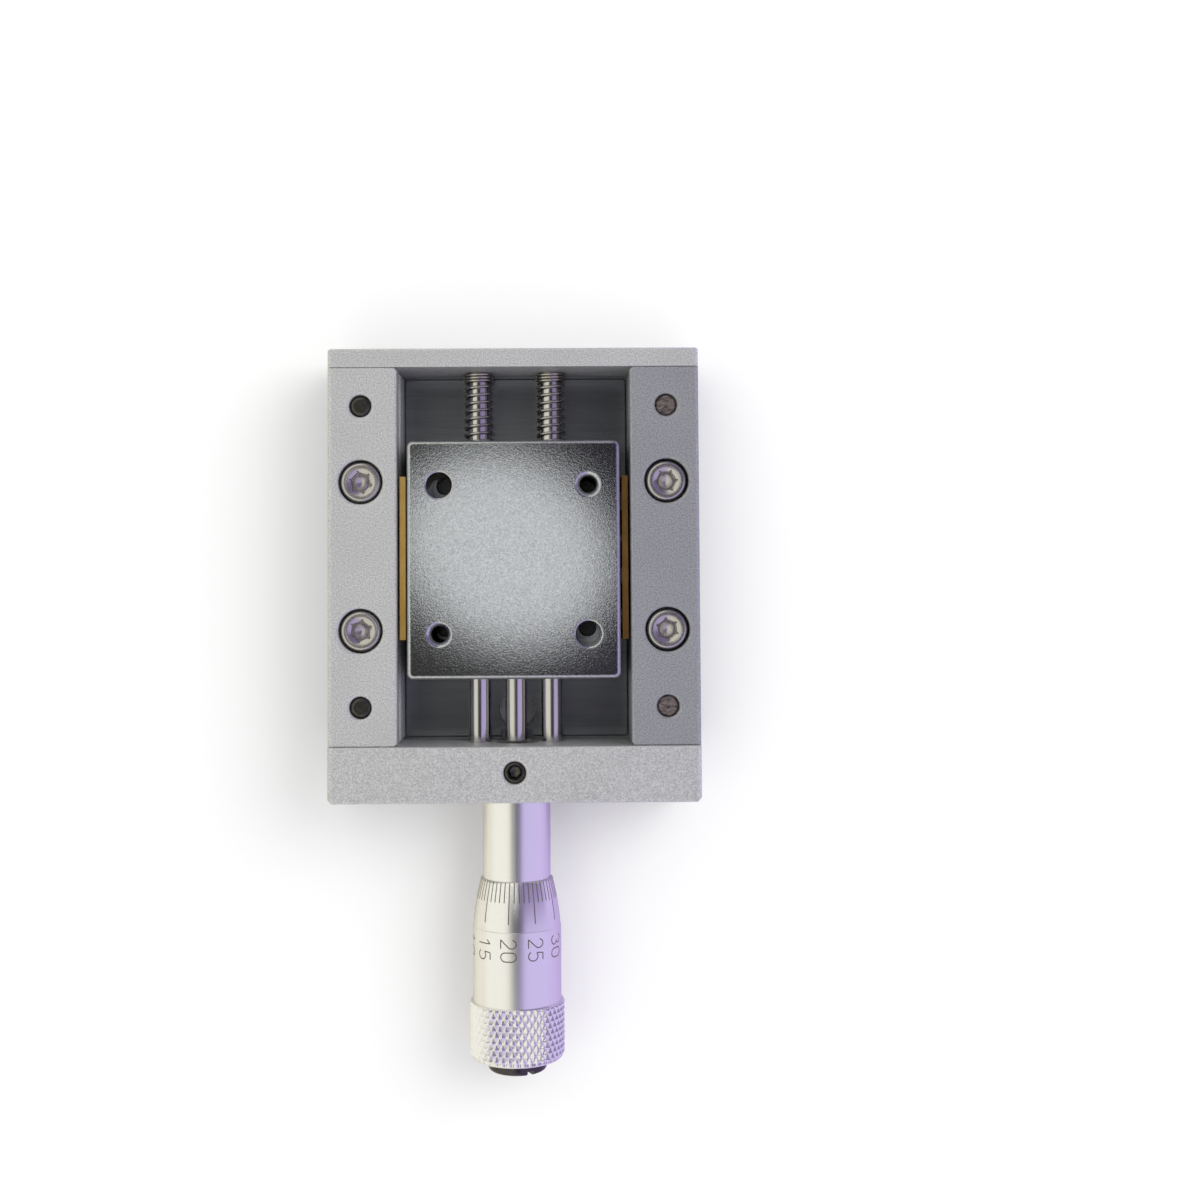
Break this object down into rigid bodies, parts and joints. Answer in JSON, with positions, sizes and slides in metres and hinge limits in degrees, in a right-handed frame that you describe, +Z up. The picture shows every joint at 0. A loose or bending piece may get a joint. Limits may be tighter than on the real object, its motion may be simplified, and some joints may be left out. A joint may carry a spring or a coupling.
{
  "type": "linear translation stage",
  "caption": "Small optical-bench linear stage: a flat aluminium carriage on crossed roller ways, pushed by a micrometer head against springs.",
  "frame": {"origin": "on the flat underside, midway between the rails and midway along them", "axes": "+Z up out of the carriage's top face; +Y along the travel, away from the micrometer; +X to the right, seen from above with the micrometer towards the viewer"},
  "size_m": [0.05, 0.0981, 0.0155],
  "materials": {
    "anodised_aluminium": "bead blasted, clear anodised",
    "screw_steel": "plain stainless",
    "dark_steel": "black oxide",
    "ground_pin_steel": "cut end, unpolished",
    "polished_steel": "ground and polished",
    "roller_steel": "ground",
    "spring_steel": "bright wire",
    "brass": "rolled strip",
    "satin_chrome": "satin chrome",
    "dark_cap": "polished, dark"
  },
  "bodies": {
    "base": {"base_plate": "anodised_aluminium", "left_rail": "anodised_aluminium", "right_rail": "anodised_aluminium", "rear_plate": "anodised_aluminium", "front_block": "anodised_aluminium", "rail_screws": "screw_steel", "front_block_screws": "screw_steel", "rear_plate_screws": "screw_steel", "clamp_screw": "dark_steel", "clamp_pad": "brass", "left_dowel_pins": "dark_steel", "right_dowel_pins": "ground_pin_steel", "left_guide_rod": "polished_steel", "right_guide_rod": "polished_steel", "left_spring": "spring_steel", "right_spring": "spring_steel", "micrometer_barrel": "satin_chrome", "graduated_sleeve": "satin_chrome", "adjusting_nut": "satin_chrome"},
    "carriage": {"carriage": "anodised_aluminium", "spindle_anvil": "polished_steel"},
    "thimble": {"spindle": "polished_steel", "thimble": "satin_chrome", "thimble_cap": "dark_cap"},
    "left_cage": {"left_cage": "brass"},
    "right_cage": {"right_cage": "brass"},
    "left_roller_1": {"left_roller_1": "roller_steel"},
    "left_roller_2": {"left_roller_2": "roller_steel"},
    "left_roller_3": {"left_roller_3": "roller_steel"},
    "left_roller_4": {"left_roller_4": "roller_steel"},
    "right_roller_1": {"right_roller_1": "roller_steel"},
    "right_roller_2": {"right_roller_2": "roller_steel"},
    "right_roller_3": {"right_roller_3": "roller_steel"},
    "right_roller_4": {"right_roller_4": "roller_steel"}
  },
  "joints": [
    {"name": "carriage_slide", "type": "slide", "parent": "base", "child": "carriage", "axis": [0, 1, 0], "range_m": [-0.00601, 0.00701], "deforming": ["left_spring", "right_spring"]},
    {"name": "thimble_turn", "type": "hinge", "parent": "carriage", "child": "thimble", "pos_m": [0, -0.033, 0.00775], "axis": [0, 1, 0], "range_deg": [-4320, 5040]},
    {"name": "left_cage_slide", "type": "slide", "parent": "base", "child": "left_cage", "axis": [0, 1, 0], "range_m": [-0.00301, 0.00351]},
    {"name": "right_cage_slide", "type": "slide", "parent": "base", "child": "right_cage", "axis": [0, 1, 0], "range_m": [-0.00301, 0.00351]},
    {"name": "left_roller_1_roll", "type": "hinge", "parent": "left_cage", "child": "left_roller_1", "pos_m": [-0.015, -0.00775, 0.01075], "axis": [0.7071, 0, 0.7071], "range_deg": [-114.79, 133.89]},
    {"name": "left_roller_2_roll", "type": "hinge", "parent": "left_cage", "child": "left_roller_2", "pos_m": [-0.015, -0.00275, 0.01075], "axis": [0.7071, 0, -0.7071], "range_deg": [-133.89, 114.79]},
    {"name": "left_roller_3_roll", "type": "hinge", "parent": "left_cage", "child": "left_roller_3", "pos_m": [-0.015, 0.00225, 0.01075], "axis": [0.7071, 0, 0.7071], "range_deg": [-114.79, 133.89]},
    {"name": "left_roller_4_roll", "type": "hinge", "parent": "left_cage", "child": "left_roller_4", "pos_m": [-0.015, 0.00725, 0.01075], "axis": [0.7071, 0, -0.7071], "range_deg": [-133.89, 114.79]},
    {"name": "right_roller_1_roll", "type": "hinge", "parent": "right_cage", "child": "right_roller_1", "pos_m": [0.015, -0.00775, 0.01075], "axis": [0.7071, 0, 0.7071], "range_deg": [-133.89, 114.79]},
    {"name": "right_roller_2_roll", "type": "hinge", "parent": "right_cage", "child": "right_roller_2", "pos_m": [0.015, -0.00275, 0.01075], "axis": [0.7071, 0, -0.7071], "range_deg": [-114.79, 133.89]},
    {"name": "right_roller_3_roll", "type": "hinge", "parent": "right_cage", "child": "right_roller_3", "pos_m": [0.015, 0.00225, 0.01075], "axis": [0.7071, 0, 0.7071], "range_deg": [-133.89, 114.79]},
    {"name": "right_roller_4_roll", "type": "hinge", "parent": "right_cage", "child": "right_roller_4", "pos_m": [0.015, 0.00725, 0.01075], "axis": [0.7071, 0, -0.7071], "range_deg": [-114.79, 133.89]}
  ],
  "couplings": [
    {"joint": "carriage_slide", "follows": "thimble_turn", "m_per_rad": 0.000079577},
    {"joint": "left_cage_slide", "follows": "thimble_turn", "m_per_rad": 0.000039789},
    {"joint": "right_cage_slide", "follows": "thimble_turn", "m_per_rad": 0.000039789},
    {"joint": "left_roller_1_roll", "follows": "thimble_turn", "ratio": 0.026526},
    {"joint": "left_roller_2_roll", "follows": "thimble_turn", "ratio": -0.026526},
    {"joint": "left_roller_3_roll", "follows": "thimble_turn", "ratio": 0.026526},
    {"joint": "left_roller_4_roll", "follows": "thimble_turn", "ratio": -0.026526},
    {"joint": "right_roller_1_roll", "follows": "thimble_turn", "ratio": -0.026526},
    {"joint": "right_roller_2_roll", "follows": "thimble_turn", "ratio": 0.026526},
    {"joint": "right_roller_3_roll", "follows": "thimble_turn", "ratio": -0.026526},
    {"joint": "right_roller_4_roll", "follows": "thimble_turn", "ratio": 0.026526}
  ]
}
